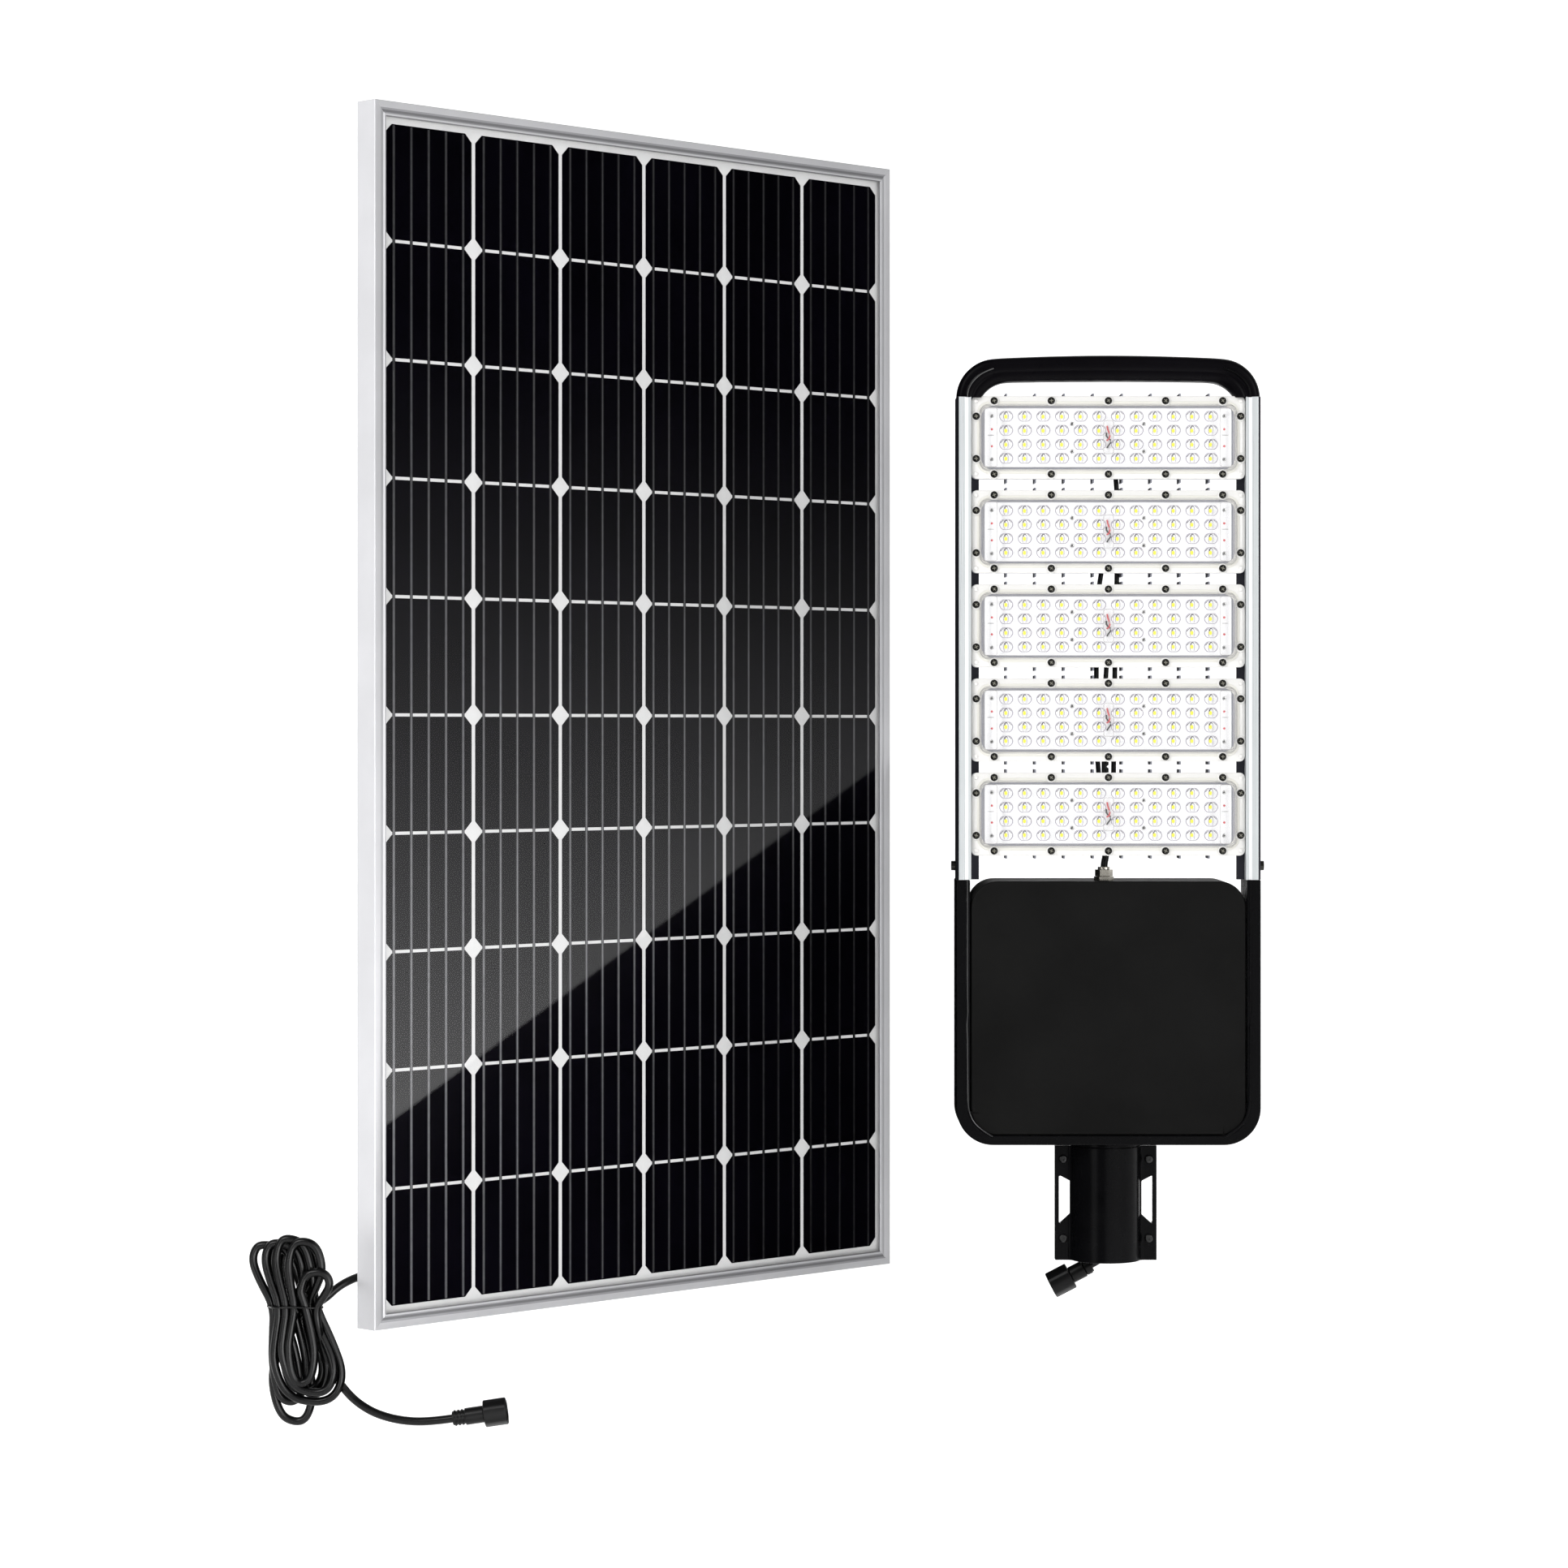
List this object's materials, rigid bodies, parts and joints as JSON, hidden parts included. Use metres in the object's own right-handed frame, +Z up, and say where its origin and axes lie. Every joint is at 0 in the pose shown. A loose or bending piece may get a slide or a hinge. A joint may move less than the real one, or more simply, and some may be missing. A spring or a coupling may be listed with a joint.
{
  "type": "solar street lamp",
  "caption": "Solar street lamp kit: framed solar panel with a coiled cable, and a pole-top lamp head with LED modules, battery box and pole clamp.",
  "frame": {"origin": "on the axis of the lamp head's pole clamp, at the clamp's lower mouth", "axes": "+Z up, along the pole; +X to the right along the lamp's front; +Y to the lamp's back, so the LEDs face -Y"},
  "size_m": [1.107, 0.6066, 1.4462],
  "materials": {
    "anodised_aluminium": "satin anodised",
    "corner_key": "mill finish",
    "solar_glass": "low-iron tempered, glossy",
    "silicon_cells": "near-black silicon with silver busbars",
    "white_backsheet": "matt film",
    "seal": "soft, matt",
    "black_plastic": "moulded, fine texture",
    "terminals": "tinned",
    "cable_jacket": "smooth, semi-matt",
    "tie": "smooth",
    "connector_plastic": "moulded, semi-matt",
    "rail_aluminium": "satin, light",
    "arch_plastic": "moulded, fine grain",
    "frame_paint": "semi-gloss black powder coat",
    "box_paint": "fine-textured matt black",
    "steel_screws": "zinc plated",
    "black_nickel_screws": "black nickel",
    "battery_wrap": "heat-shrink film",
    "circuit_board": "solder mask",
    "nickel_gland": "nickel plated",
    "heat_sink_aluminium": "mill finish",
    "clear_polycarbonate": "clear moulded",
    "white_led_board": "white solder mask with yellow LED dots"
  },
  "bodies": {
    "root": {"battery_pack": "battery_wrap", "box_body": "box_paint", "box_gasket": "seal", "box_rear_cover": "box_paint", "box_screws": "steel_screws", "charge_controller": "circuit_board", "clamp_fixing_screws": "steel_screws", "clamp_nuts": "steel_screws", "clamp_rear_shell": "frame_paint", "hank_tie": "tie", "heat_sink_1": "heat_sink_aluminium", "heat_sink_2": "heat_sink_aluminium", "heat_sink_3": "heat_sink_aluminium", "heat_sink_4": "heat_sink_aluminium", "heat_sink_5": "heat_sink_aluminium", "junction_box_base": "black_plastic", "junction_box_gland": "black_plastic", "junction_box_terminals": "terminals", "lead_gland_body": "nickel_gland", "lead_gland_nut": "nickel_gland", "led_board_1": "white_led_board", "led_board_2": "white_led_board", "led_board_3": "white_led_board", "led_board_4": "white_led_board", "led_board_5": "white_led_board", "lens_cover_1": "clear_polycarbonate", "lens_cover_2": "clear_polycarbonate", "lens_cover_3": "clear_polycarbonate", "lens_cover_4": "clear_polycarbonate", "lens_cover_5": "clear_polycarbonate", "module_fixing_screws": "steel_screws", "module_gaskets": "seal", "module_leads": "cable_jacket", "module_screws": "black_nickel_screws", "panel_backsheet": "white_backsheet", "panel_cable_hank": "cable_jacket", "panel_cable_lead": "cable_jacket", "panel_cable_tail": "cable_jacket", "panel_cells": "silicon_cells", "panel_connector_body": "connector_plastic", "panel_corner_keys": "corner_key", "panel_frame_bottom": "anodised_aluminium", "panel_frame_left": "anodised_aluminium", "panel_frame_right": "anodised_aluminium", "panel_frame_top": "anodised_aluminium", "panel_glass": "solar_glass", "panel_seal": "seal", "pigtail_cable": "cable_jacket", "pigtail_connector_body": "connector_plastic", "pigtail_gland": "black_plastic", "side_bolts": "steel_screws", "side_rail_left": "rail_aluminium", "side_rail_right": "rail_aluminium", "top_arch": "arch_plastic", "u_frame": "frame_paint"},
    "clamp_front": {"clamp_front_shell": "frame_paint", "clamp_bolts": "steel_screws"},
    "junction_lid": {"junction_box_lid": "black_plastic"},
    "panel_nut": {"panel_connector_nut": "connector_plastic"},
    "pigtail_nut": {"pigtail_connector_nut": "connector_plastic"}
  },
  "joints": [
    {"name": "clamp_front_slide", "type": "slide", "parent": "root", "child": "clamp_front", "axis": [0, -1, 0], "range_m": [0, 0.008]},
    {"name": "junction_lid_hinge", "type": "hinge", "parent": "root", "child": "junction_lid", "pos_m": [-0.52761, 0.25848, 0.052], "axis": [0.7096, 0.7046, 0], "range_deg": [0, 100]},
    {"name": "panel_nut_spin", "type": "hinge", "parent": "root", "child": "panel_nut", "pos_m": [-0.66459, -0.046, -0.15973], "axis": [0.9895, 0, 0.1443], "continuous": true},
    {"name": "pigtail_nut_spin", "type": "hinge", "parent": "root", "child": "pigtail_nut", "pos_m": [-0.04534, 0.05356, -0.03012], "axis": [-0.8849, 0.028, -0.4649], "continuous": true}
  ]
}
